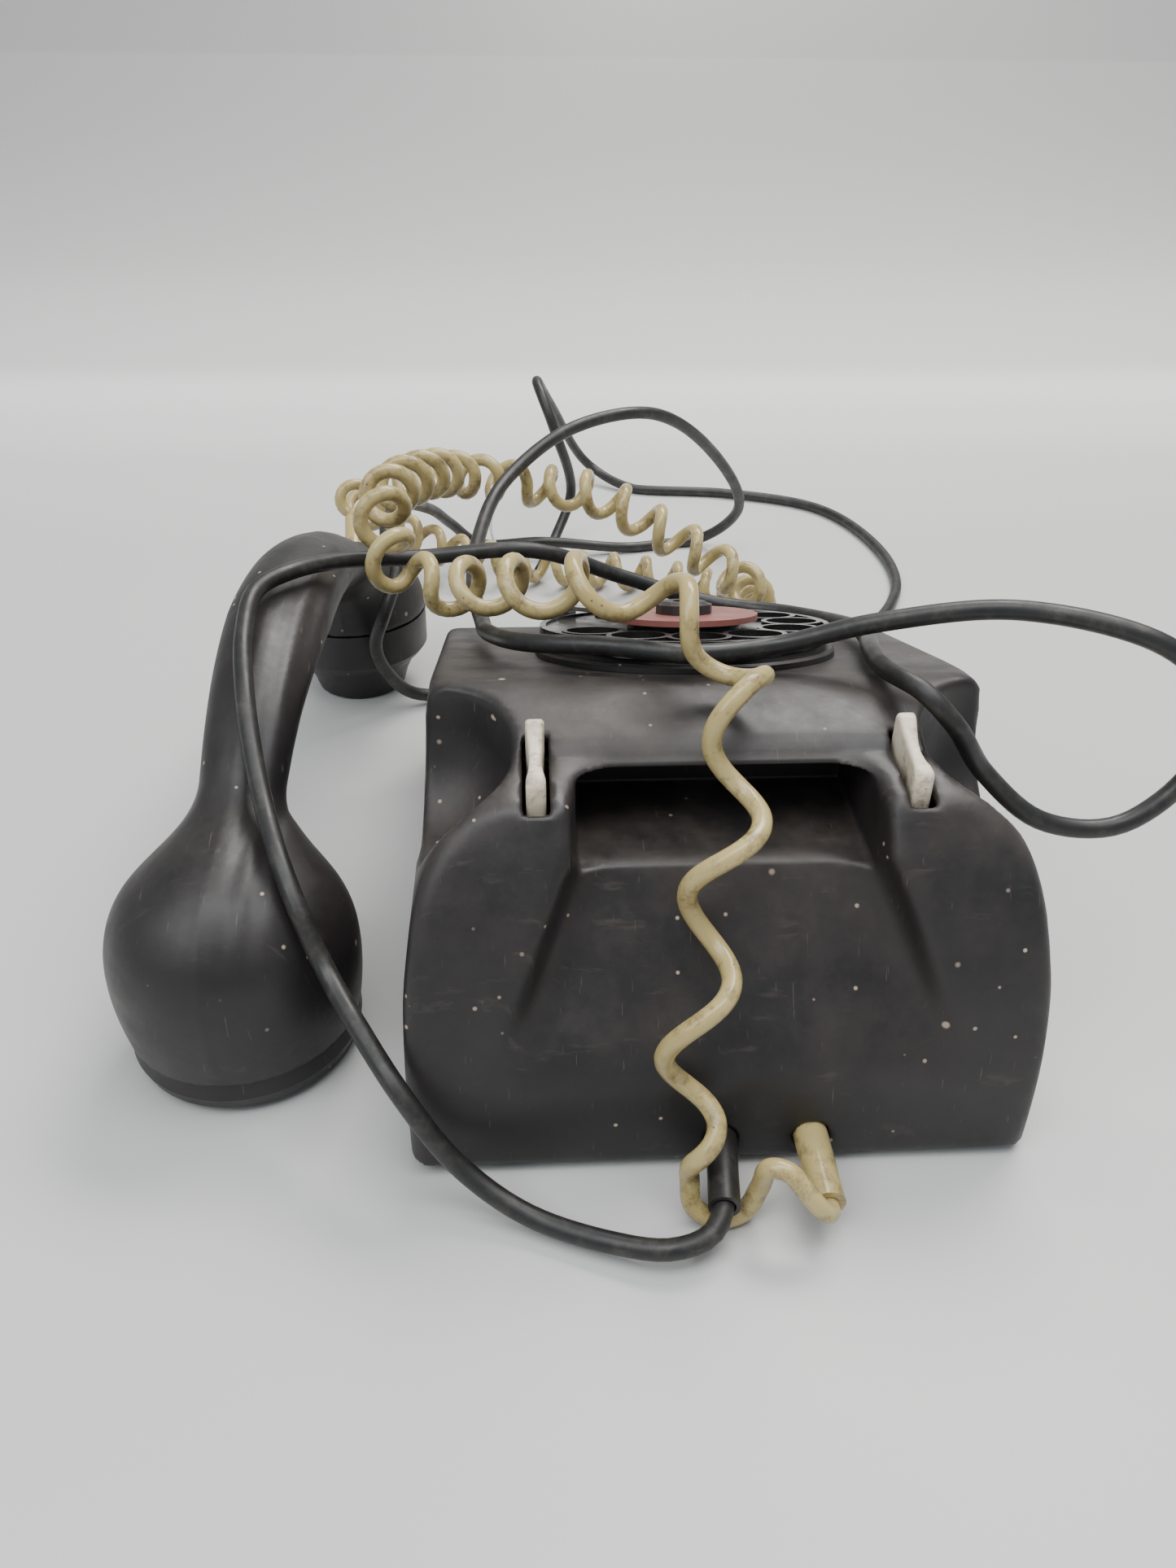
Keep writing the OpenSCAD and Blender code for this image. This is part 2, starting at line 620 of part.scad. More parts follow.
coil_path = [
  [-19, 104, 8.6], [-19, 109, 8.6], [-16, 110, 12], [-10, 106, 18], [-6.4, 104.5, 17.5],
  [-5.2, 103, 9.6], [-2.4, 103.8, 3], [3.4, 105, 2.4], [8.4, 103.5, 4.6], [9.4, 101, 11],
  [9.6, 97.4, 28], [7.6, 85.6, 47], [3.6, 73.8, 63.8], [-0.6, 62.8, 79.8], [-3, 47.8, 93.6],
  [-1, 29, 99.4], [6, 21, 102.4], [20, 12, 105], [36, -4, 98], [52, -24, 89.6], [64, -38, 83],
  [75.4, -39.6, 87], [81, -60, 97], [73, -106, 90], [62, -140, 78], [40, -158, 68], [16, -144, 69],
  [-8, -130, 60], [-34, -126, 44], [-46, -154, 20], [-42, -190, 9.4], [-10, -210, 9.2],
  [30, -220, 9.2], [66, -224, 13], [91, -217, 26], [104, -202, 43], [107.6, -188, 51.6],
  [107, -176.6, 48.9]
];
lead_rings = 10;
module line_cord() {
  color(black) tube(line_path, line_d, 8);
}
module handset_cord() {
  color(beige) tube(coil_path, coil_d, 8, lead_rings, lead_d);
}
module bare_wires() {
  p = line_path[len(line_path) - 1];
  color([0.85, 0.85, 0.82])
    tube([p, [44, -233, 3.5], [52, -240, 7], [57, -249, 13], [57, -258, 21]], 1.2, 6);
  color([0.3, 0.6, 0.5])
    tube([p + [-0.9, 0.6, 0], [42, -229.6, 2.2], [49, -232, 4.5], [53, -241, 11]], 1.2, 6);
}

body_shell();
pocket_liner();
base_plate();
base_screws();
dial_bezel();
number_plate();
finger_wheel();
centre_disc();
hub_nut();
finger_stop();
dial_shaft();
main_gear();
pulse_cam();
idler_gear();
governor();
dial_frame();
main_spring();
pulse_contacts();
cradle_lever_left();
cradle_lever_right();
hook_yoke();
hook_brackets();
hook_spring();
hook_contacts();
gong_left();
gong_right();
gong_posts();
ringer_coils();
ringer_frame();
clapper();
induction_coil();
capacitor();
terminal_board();
line_gland();
coil_gland();
handset_shell();
receiver_cap();
receiver_capsule();
transmitter_cap();
transmitter_capsule();
handset_gland();
line_cord();
handset_cord();
bare_wires();
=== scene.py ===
import bpy
import json
import numpy as np
from mathutils import Matrix


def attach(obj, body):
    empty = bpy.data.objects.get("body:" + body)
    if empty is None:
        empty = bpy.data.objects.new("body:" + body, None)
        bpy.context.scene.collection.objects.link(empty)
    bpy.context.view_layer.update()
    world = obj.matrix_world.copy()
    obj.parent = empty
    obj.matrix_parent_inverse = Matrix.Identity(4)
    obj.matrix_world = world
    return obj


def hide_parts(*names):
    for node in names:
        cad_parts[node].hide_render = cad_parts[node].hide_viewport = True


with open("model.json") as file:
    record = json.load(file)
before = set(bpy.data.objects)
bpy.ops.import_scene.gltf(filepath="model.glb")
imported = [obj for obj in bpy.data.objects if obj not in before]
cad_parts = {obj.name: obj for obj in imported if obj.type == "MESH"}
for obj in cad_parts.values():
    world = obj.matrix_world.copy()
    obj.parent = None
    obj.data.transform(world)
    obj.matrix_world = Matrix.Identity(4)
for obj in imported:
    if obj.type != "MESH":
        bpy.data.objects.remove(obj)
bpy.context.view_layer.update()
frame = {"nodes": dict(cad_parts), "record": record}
NODES = frame["nodes"]
MM = 0.001      # metres in a millimetre; all shapes below are in millimetres


def as_matrix(x_axis, y_axis, z_axis, at):
    """Placement with the given axes and origin."""
    rows = [[x_axis[i], y_axis[i], z_axis[i], at[i]] for i in range(3)]
    return Matrix(rows + [[0, 0, 0, 1]])


def add_object(name, data):
    obj = bpy.data.objects.new(name, data)
    bpy.context.scene.collection.objects.link(obj)
    return obj


# ---------------------------------------------------------------- camera
cam = add_object("camera", bpy.data.cameras.new("camera"))
cam.data.lens = 36.05
cam.data.sensor_width = 36
cam.data.sensor_fit = "HORIZONTAL"
cam.data.clip_start = 0.01
CAM_RIGHT = (-0.998704, 0.049988, 0.009575)
CAM_UP = (-0.020027, -0.558914, 0.828985)
CAM_BACK = (0.046791, 0.827719, 0.559190)
CAM_AT = (0.0406, 0.25835, 0.21748)
cam.matrix_world = as_matrix(CAM_RIGHT, CAM_UP, CAM_BACK, CAM_AT)
bpy.context.scene.camera = cam


# ---------------------------------------------------------------- cords
# centreline of the line cord, from its sleeve to the stripped end
LINE = [
    (1.7, 97.5, 8.6), (2.6, 106, 8.4), (6, 112, 7), (14, 114, 5.4), (26, 111, 4),
    (44, 103.5, 4.4), (58, 96.5, 12), (68.4, 91.6, 27), (78, 79, 34), (86.8, 65, 39.6),
    (92.4, 57.6, 50.4), (97.2, 48, 57.2), (101.6, 36, 61.4), (106, 22, 69), (109.4, 7, 77.6),
    (111.8, -10, 84), (111, -27, 87.8), (104, -36, 88.6), (92, -51, 85.2), (72, -60, 82),
    (40, -62, 83), (12, -74, 69), (-14, -74, 60.5), (-38, -62, 62), (-49, -36, 70.5),
    (-46, -10, 80), (-41, 10, 87), (-39.6, 26, 90.6), (-44.6, 39.8, 92), (-51.2, 44, 86),
    (-61.5, 41, 71.5), (-76, 44, 60), (-94, 45, 59), (-109, 42, 71), (-110, 42, 88),
    (-96, 40, 102), (-68, 27, 105), (-38, 20, 99), (-16, 16, 91.4), (4, 19, 91.2),
    (22, 12.5, 90.2), (41, 2, 86), (51, -20, 77.6), (54, -44, 69.6), (57, -68, 68),
    (57, -102, 69), (48, -140, 76), (24, -166, 86), (-6, -184, 86), (-34, -212, 63),
    (-54, -246, 24), (-40, -262, 4), (-6, -256, 2.6), (34, -250, 8.2), (62, -256, 5),
    (74, -242, 20), (80, -222, 34), (85, -200, 45), (88, -178, 54.5), (89.6, -154, 60),
    (90, -134, 60), (85.4, -118, 53), (89.6, -106, 42), (93.6, -107, 30), (91, -111, 17),
    (82, -117, 5), (46, -126, 2.6), (-20, -132, 2.6), (-84, -156, 2.6), (-118, -204, 2.6),
    (-122, -256, 2.6), (-104, -304, 2.6), (-60, -326, 2.6), (-14, -334, 2.6), (8, -350, 10),
    (28, -318, 50), (35, -276, 72), (28, -262, 56), (20, -276, 22), (28, -262, 5), (36, -230, 2.4),
]
# axis of the coiled cord, from the body to the handset
COIL = [
    (-19, 104, 8.6), (-19, 109, 8.6), (-16, 110, 12), (-10, 106, 18), (-6.4, 104.5, 17.5),
    (-5.2, 103, 9.6), (-2.4, 103.8, 3), (3.4, 105, 2.4), (8.4, 103.5, 4.6), (9.4, 101, 11),
    (9.6, 97.4, 28), (7.6, 85.6, 47), (3.6, 73.8, 63.8), (-0.6, 62.8, 79.8), (-3, 47.8, 93.6),
    (-1, 29, 99.4), (6, 21, 102.4), (20, 12, 105), (36, -4, 98), (52, -24, 89.6), (64, -38, 83),
    (75.4, -39.6, 87), (81, -60, 97), (73, -106, 90), (62, -140, 78), (40, -158, 68),
    (16, -144, 69), (-8, -130, 60), (-34, -126, 44), (-46, -154, 20), (-42, -190, 9.4),
    (-10, -210, 9.2), (30, -220, 9.2), (66, -224, 13), (91, -217, 26), (104, -202, 43),
    (107.6, -188, 51.6), (107, -176.6, 48.9),
]
# (point number in COIL, millimetres of axis that one turn takes there)
PITCH = [(9, 34), (13, 33), (14, 31), (15, 30), (17, 28), (18, 25), (19, 21), (20, 17),
         (21, 15), (22, 15), (23, 17), (25, 15), (27, 14), (29, 12), (31, 14), (34, 13), (37, 14)]
LINE_WIDE, COIL_WIDE, BARE_WIDE = 4.6, 4.3, 1.2     # diameters of the wires
LINE_STEP, COIL_STEP, BARE_STEP = 2.5, 0.7, 1.2     # spacing of points along each
LINE_LOW, COIL_LOW = 2.4, 2.25                      # lowest that each centreline may be
COIL_R = 6.05                                       # radius of the turns, to the wire's centre
COIL_PHASE = 0.6                                    # where the first turn starts, in radians
FIRST_TURN = 9.0                                    # point of COIL where the turns start
TURN_IN, TURN_OUT = 14, 12                          # axis over which the turns grow and die away


def smooth_path(points, n=12):
    """Centripetal Catmull-Rom curve through the points, and the point number at each sample."""
    p = np.asarray(points, float)
    q = np.vstack([2 * p[0] - p[1], p, 2 * p[-1] - p[-2]])
    out, num = [], []
    for i in range(1, len(q) - 2):
        k = q[i - 1:i + 3]
        t = np.concatenate([[0], np.cumsum(np.linalg.norm(np.diff(k, axis=0), axis=1) ** 0.5)])
        for j in range(n):
            s = t[1] + (t[2] - t[1]) * j / n
            a = [((t[m + 1] - s) * k[m] + (s - t[m]) * k[m + 1]) / (t[m + 1] - t[m]) for m in range(3)]
            b = [((t[m + 2] - s) * a[m] + (s - t[m]) * a[m + 1]) / (t[m + 2] - t[m]) for m in range(2)]
            out.append(((t[2] - s) * b[0] + (s - t[1]) * b[1]) / (t[2] - t[1]))
            num.append(i - 1 + j / n)
    return np.array(out + [p[-1]]), np.array(num + [len(p) - 1.0])


def resample(path, num, step):
    """Evenly spaced points on the path, with the point number at each."""
    arc = np.concatenate([[0], np.cumsum(np.linalg.norm(np.diff(path, axis=0), axis=1))])
    s = np.linspace(0, arc[-1], int(arc[-1] / step) + 1)
    even = np.stack([np.interp(s, arc, path[:, i]) for i in range(3)], 1)
    return even, np.interp(s, arc, num)


def carried(path):
    """Unit tangents and a side vector carried along the path without twisting."""
    t = np.gradient(path, axis=0)
    t /= np.linalg.norm(t, axis=1)[:, None]
    s = np.cross(t[0], (0.3, 0.2, 1.0))
    side = [s / np.linalg.norm(s)]
    for i in range(1, len(t)):
        s = side[-1] - (side[-1] @ t[i]) * t[i]
        side.append(s / np.linalg.norm(s))
    side = np.array(side)
    return t, side, np.cross(t, side)


def wire(name, points, diameter, sides=14):
    """Round tube along the points (millimetres), closed at both ends."""
    p = np.asarray(points, float)
    _, s, o = carried(p)
    turn = 2 * np.pi * np.arange(sides) / sides
    ring = np.cos(turn)[None, :, None] * s[:, None] + np.sin(turn)[None, :, None] * o[:, None]
    verts = ((p[:, None] + diameter / 2 * ring).reshape(-1, 3) * MM).tolist()
    faces = []
    for i in range(0, (len(p) - 1) * sides, sides):
        for k in range(sides):
            k2 = (k + 1) % sides
            faces.append((i + k, i + k2, i + sides + k2, i + sides + k))
    first_ring = list(range(sides))[::-1]
    last_ring = [(len(p) - 1) * sides + k for k in range(sides)]
    mesh = bpy.data.meshes.new(name)
    mesh.from_pydata(verts, [], faces + [first_ring, last_ring])
    mesh.polygons.foreach_set("use_smooth", [True] * len(faces) + [False] * 2)
    return add_object(name, mesh)


line_pts, _ = resample(*smooth_path(LINE), LINE_STEP)
line_pts[:, 2] = np.maximum(line_pts[:, 2], LINE_LOW)
line_cord = wire("line_cord_visual", line_pts, LINE_WIDE)

# a helix wound round the axis, with a pitch that changes along it
axis_pts, axis_num = resample(*smooth_path(COIL), COIL_STEP)
arc = np.arange(len(axis_pts)) * COIL_STEP
turn_rate = 1 / np.interp(axis_num, [p[0] for p in PITCH], [p[1] for p in PITCH])
start = arc[np.searchsorted(axis_num, FIRST_TURN)]
phase = 2 * np.pi * np.cumsum(np.where(arc > start, turn_rate, 0)) * COIL_STEP + COIL_PHASE
swell = np.clip((arc - start) / TURN_IN, 0, 1) * np.clip((arc[-1] - arc) / TURN_OUT, 0, 1)
swell = swell * swell * (3 - 2 * swell)
_, side, other = carried(axis_pts)
coil_pts = axis_pts + COIL_R * swell[:, None] * (
    np.cos(phase)[:, None] * side + np.sin(phase)[:, None] * other)
coil_pts[:, 2] = np.maximum(coil_pts[:, 2], COIL_LOW)
curly_cord = wire("handset_cord_visual", coil_pts, COIL_WIDE)

# the two bare wires at the stripped end
last = np.array(LINE[-1])
BARE = [
    [last, (44, -233, 3.5), (52, -240, 7), (57, -249, 13), (57, -258, 21)],
    [last + (-0.9, 0.6, 0), (42, -229.6, 2.2), (49, -232, 4.5), (53, -241, 11)],
]
ends = []
for k, route in enumerate(BARE):
    pts, _ = resample(*smooth_path(route), BARE_STEP)
    ends.append(wire("bare_wire_%d" % (k + 1), pts, BARE_WIDE))

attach(line_cord, "body")
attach(curly_cord, "body")
for piece in ends:
    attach(piece, "body")
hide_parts("line_cord")
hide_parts("handset_cord")
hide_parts("bare_wires")


# ---------------------------------------------------------------- shapes from distances
# Each shape is a function that is negative inside the solid, in millimetres.
def smax(a, b, r):
    """Intersection of two shapes, blended over r."""
    return np.maximum(a, b) + np.maximum(r - np.abs(a - b), 0) ** 2 / (4 * r)


def smin(a, b, r):
    """Union of two shapes, blended over r."""
    return -smax(-a, -b, r)


def poly(px, py, pts):
    """Signed distance to a closed outline."""
    px, py = np.broadcast_arrays(px, py)
    d = np.full(px.shape, 1e9)
    inside = np.zeros(px.shape, bool)
    for a, b in zip(pts, pts[1:] + pts[:1]):
        e = (b[0] - a[0], b[1] - a[1])
        size = e[0] ** 2 + e[1] ** 2
        if size < 1e-9:
            continue
        wx, wy = px - a[0], py - a[1]
        t = np.clip((wx * e[0] + wy * e[1]) / size, 0, 1)
        d = np.minimum(d, (wx - t * e[0]) ** 2 + (wy - t * e[1]) ** 2)
        if e[1]:
            crosses = (a[1] <= py) != (b[1] <= py)
            inside ^= crosses & (px < a[0] + wy / e[1] * e[0])
    return np.where(inside, -1, 1) * np.sqrt(d)


def splined(pts, n=5):
    """The open outline with rounded bends, as more points."""
    flat, _ = smooth_path([(a, b, 0) for a, b in pts], n)
    return [(float(a), float(b)) for a, b, _ in flat]


def mirror(pts):
    """The outline closed by its own reflection in the first coordinate."""
    return pts + [(-x, z) for x, z in reversed(pts)]


# The body: x across, y to the rear, z up. Its outlines run on down to LOW, below its lower edge Z0.
HW, FY, RY, Z0, LOW = 69.5, -90.0, 90.0, 2.6, -20.0     # half width, front, rear
WALL = 2.6
CORNER_R = 6
SCOOP_AT, SCOOP_R = (65, 44, 76), 20                    # round hollows beside the levers
POCKET_HALF, POCKET_FLOOR, POCKET_TOP = 31.6, 63.6, 79.4
POCKET_FRONT, POCKET_REAR, LIP_Y = 30, 62, 54.2
TROUGH_AT, TROUGH_TILT = (60.8, 63.6), 54.4             # the wide hollow that runs down from the pocket
LEVER_X, SLOT_HALF = 40, 2.9
CORD_HOLES, CORD_HOLE_Z = ((0.9, 3.7), (-19, 4.1)), 8.6     # x and radius of each
DIAL_AT, DIAL_HOLE_R = (-18.8, 72.2), 36
TILT = np.radians(19.5)
REAR = [(RY, LOW), (RY, Z0), (RY - 0.8, 12), (RY - 3, 27), (RY - 6.5, 42), (RY - 10, 52),
        (RY - 14, 61), (RY - 18.5, 68.5), (RY - 23, 75), (RY - 27, 79.5), (RY - 30, 80.7)]
TOP = [(29, 87), (26, 87.3), (23, 87), (20, 86.1), (17, 84.9)]
FRONT = [(FY + 16, 52.6), (FY + 11, 49.6), (FY + 8, 45), (FY + 1, 6), (FY + 1, LOW)]
SIDE = splined(REAR) + TOP + FRONT
# cross-sections of the front part and of the rear part
BLOCK = mirror([(HW + 1, LOW), (HW, Z0), (HW - 4.4, 78), (HW - 5.2, 83), (HW - 7, 86.5),
                (HW - 10, 88.6)])
ARCH = mirror(splined([(HW, LOW), (HW, Z0), (HW - 0.3, 27), (HW - 0.9, 42), (HW - 2.1, 52),
                       (HW - 3.7, 61), (HW - 6, 68), (HW - 9.5, 73.5), (HW - 13.5, 77.5),
                       (HW - 18.5, 80.6), (HW - 23, 82.6)]))


def slab(v, a, b):
    """The space from a to b."""
    return np.maximum(a - v, v - b)


def in_dial(x, y, z):
    """The point in the dial's own axes."""
    y, z = y - DIAL_AT[0], z - DIAL_AT[1]
    return x, y * np.cos(TILT) + z * np.sin(TILT), -y * np.sin(TILT) + z * np.cos(TILT)


def body_form(x, y, z):
    """The outside of the body, with the pocket, the scoops and the trough behind."""
    mix = np.clip((y - 41) / 6, 0, 1)
    outline = poly(x, z, BLOCK) * (1 - mix) + poly(x, z, ARCH) * mix
    d = smax(poly(y, z, SIDE), outline, 4)
    qx = np.abs(x) - HW + CORNER_R
    qy = np.where(y > 0, y - RY + CORNER_R, FY + CORNER_R + 1 - y)
    corner = np.hypot(np.maximum(qx, 0), np.maximum(qy, 0)) + np.minimum(np.maximum(qx, qy), 0)
    d = smax(d, corner - CORNER_R, 1.5)
    sx, sy, sz = SCOOP_AT
    scoop = np.sqrt((np.abs(x) - sx) ** 2 + (y - sy) ** 2 + np.minimum(z - sz, 0) ** 2) - SCOOP_R
    d = smax(d, -scoop, 2)
    # v runs down the trough's floor and w up out of it
    a = np.radians(TROUGH_TILT)
    ty, tz = y - TROUGH_AT[0], z - TROUGH_AT[1]
    v = ty * np.cos(a) - tz * np.sin(a)
    w = ty * np.sin(a) + tz * np.cos(a)
    half = np.interp(v, [0, 4, 22, 44], [31.6, 33.6, 40.6, 50.6])
    d = smax(d, -smax(np.abs(x) - half - 1, -w, 11), 3.5)
    across = np.abs(x) - POCKET_HALF
    above_lip = np.maximum(np.maximum(across, LIP_Y - y), POCKET_FLOOR - z)
    d = smax(d, -above_lip, 0.8)
    pocket = np.maximum(np.maximum(across, slab(y, POCKET_FRONT, POCKET_REAR)),
                        slab(z, POCKET_FLOOR, POCKET_TOP))
    return smax(d, -pocket, 0.8)


def body(x, y, z):
    """The hollow body with its openings."""
    form = body_form(x, y, z)
    d = np.maximum(np.maximum(form, Z0 - z), -(form + WALL))
    # fine joint where the pocket's floor meets the sloping back
    joint = np.maximum(np.abs(x) - 31.8, np.abs(y - 60.6) - 0.4)
    d = np.maximum(d, -np.maximum(joint, slab(z, 63.1, 66)))
    lx, ly, lz = in_dial(x, y, z)
    d = np.maximum(d, -np.maximum(np.hypot(lx, ly) - DIAL_HOLE_R, slab(lz, -12, 18)))
    slot = np.maximum(np.abs(np.abs(x) - LEVER_X) - SLOT_HALF, slab(y, 41.6, 63.4))
    d = np.maximum(d, -np.maximum(slot, 50 - z))
    for gx, r in CORD_HOLES:
        d = np.maximum(d, -np.maximum(np.hypot(x - gx, z - CORD_HOLE_Z) - r, 80 - y))
    return d


# The handset: outlines of its large end and its small end, as (radius, height).
# u runs along it from the large end, and v across it.
BULB = [(0, 0.4), (21.5, 0.2), (24.2, 1.6), (26.4, 5), (27.7, 10), (29, 19), (29.3, 27), (28.6, 34),
        (26, 41.5), (21, 48), (13, 53.5), (5, 56), (0, 56.4)]
HEAD = [(0, 0.5), (14.6, 0), (16, 0.8), (17.6, 6), (20.2, 11.4), (23.4, 14.6), (25.2, 17),
        (25.4, 29.9), (25, 34), (23.4, 39.5), (19.8, 44.6), (14, 49), (6, 51.6), (0, 52)]
HANDSET_AT, HANDSET_TURN = (112, 44), -92.5
HEAD_U = 182
GRIP_U, GRIP_Z, GRIP_R = 92, -44.5, 119.5               # centre and radius of the handle's arc
CAP_TOP = 10                                            # the caps below this are CAD nodes


def in_handset(x, y):
    """The point along and across the handset."""
    a = np.radians(HANDSET_TURN)
    x, y = x - HANDSET_AT[0], y - HANDSET_AT[1]
    return x * np.cos(a) + y * np.sin(a), -x * np.sin(a) + y * np.cos(a)


def handset(x, y, z):
    """The hollow handset without its caps."""
    u, v = in_handset(x, y)
    r = np.hypot(u, v)
    ball = poly(r, z, mirror(splined(BULB)))
    # rho and ph are the radius and the angle in degrees on the handle's arc
    rho = np.hypot(u - GRIP_U, z - GRIP_Z)
    ph = np.degrees(np.arctan2(u - GRIP_U, z - GRIP_Z))
    wide = np.interp(ph, [-48, -34, -18, -6, 8, 24, 40, 48], [9.5, 10.5, 12.6, 14, 14, 13, 12, 13])
    thick = np.interp(ph, [-48, -30, 0, 30, 48], [9.5, 9.5, 10, 10, 11])
    grip = (np.hypot((rho - GRIP_R) / thick, v / wide) - 1) * thick
    grip = smax(grip, (np.abs(ph) - 47) * 2.2, 4)
    hr = np.hypot(u - HEAD_U, v)
    d = smin(smin(ball, grip, 13), poly(hr, z, mirror(splined(HEAD))), 12)
    # two long shallow flutes on one flank, running out onto the rounded end
    fade = np.clip((ph + 58) / 12, 0, 1) * np.clip((34 - ph) / 20, 0, 1)
    for off, deep in ((-5.5, 0.55), (-10.5, 0.6)):
        d = d + deep * fade * np.exp(-((v - off) / 1.9) ** 2) * (z > 20)
    # raised parting line along the middle
    d = d - 0.22 * np.exp(-(v / 0.7) ** 2) * (z > 14)
    # cut off at the caps and hollowed
    d = np.maximum(d, CAP_TOP - z)
    d = np.maximum(d, -np.maximum(hr - 26.4, z - 30.05))
    d = np.maximum(d, -np.maximum(r - 23.6, z - 21))
    return d


def mesh_from(name, dist, low, high, h):
    """Closed quad mesh of dist = 0 in cells of size h, between the corners low and high.

    There is one vertex for each cell that the surface crosses, and one quad for each crossed edge.
    """
    ax = [np.arange(low[i], high[i] + h, h) for i in range(3)]
    d = dist(ax[0][:, None, None], ax[1][None, :, None], ax[2][None, None, :])
    size = np.array(d.shape)
    cells, spots, quads = [], [], []
    for a in range(3):
        b, c = (a + 1) % 3, (a + 2) % 3
        lo = [slice(1, -1)] * 3
        hi = [slice(1, -1)] * 3
        lo[a], hi[a] = slice(1, -2), slice(2, -1)
        d0, d1 = d[tuple(lo)], d[tuple(hi)]
        at = np.argwhere((d0 < 0) != (d1 < 0))
        v0, v1 = d0[tuple(at.T)], d1[tuple(at.T)]
        at = at + 1
        spot = at.astype(float)
        spot[:, a] += v0 / (v0 - v1)
        ring = []
        for ob, oc in ((0, 0), (-1, 0), (-1, -1), (0, -1)):
            cell = at.copy()
            cell[:, b] += ob
            cell[:, c] += oc
            flat = np.ravel_multi_index(tuple(cell.T), tuple(size))
            ring.append(flat)
            cells.append(flat)
            spots.append(spot)
        quad = np.stack(ring, 1)
        quads.append(np.where((v0 < 0)[:, None], quad, quad[:, ::-1]))
    cells, spots = np.concatenate(cells), np.concatenate(spots)
    ids, inverse = np.unique(cells, return_inverse=True)
    count = np.bincount(inverse)
    verts = np.stack([np.bincount(inverse, spots[:, i]) / count for i in range(3)], 1)
    faces = np.searchsorted(ids, np.concatenate(quads))
    verts = (verts * h + np.array(low)) * MM
    mesh = bpy.data.meshes.new(name)
    mesh.vertices.add(len(verts))
    mesh.vertices.foreach_set("co", verts.ravel())
    mesh.loops.add(faces.size)
    mesh.loops.foreach_set("vertex_index", faces.ravel().astype(np.int32))
    mesh.polygons.add(len(faces))
    mesh.polygons.foreach_set("loop_start", np.arange(0, faces.size, 4, dtype=np.int32))
    mesh.polygons.foreach_set("use_smooth", np.ones(len(faces), bool))
    mesh.update(calc_edges=True)
    return add_object(name, mesh)


body_obj = mesh_from("body_moulding", body, (-73, -93, -1), (73, 93, 92), 1.0)
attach(body_obj, "body")
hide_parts("body_shell", "pocket_liner")
hand_obj = mesh_from("handset_moulding", handset, (68, -172, 7), (146, 77, 88), 1.0)
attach(hand_obj, "handset")
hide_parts("handset_shell")


# side outline of a cradle lever, as (y, z)
BLADE = [(42.6, 69), (42.6, 88), (43.2, 89.2), (45, 89.2), (47.5, 87.5), (50.5, 86.1), (53.5, 85.4),
         (56.5, 85.3), (58.8, 85.4), (60.4, 84.8), (61.2, 83.6), (61.2, 74), (54, 66), (40, 60),
         (20, 60), (16, 64), (20, 68), (36, 69)]


def lever(x, y, z):
    """One lever, in the plane x = 0."""
    half = np.interp(y, [42, 44.5, 49, 53, 56.5, 59.5, 62], [2.15, 2.0, 1.5, 1.3, 1.55, 2.05, 2.15])
    return smax(poly(y, z, BLADE), np.abs(x) - half, 0.9)


levers = []
for name, x in (("left", LEVER_X), ("right", -LEVER_X)):
    obj = mesh_from("lever_%s_ivory" % name, lambda a, b, c: lever(a - x, b, c),
                    (x - 4, 14, 58), (x + 4, 63, 91), 0.5)
    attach(obj, "hook")
    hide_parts("cradle_lever_" + name)
    levers.append(obj)


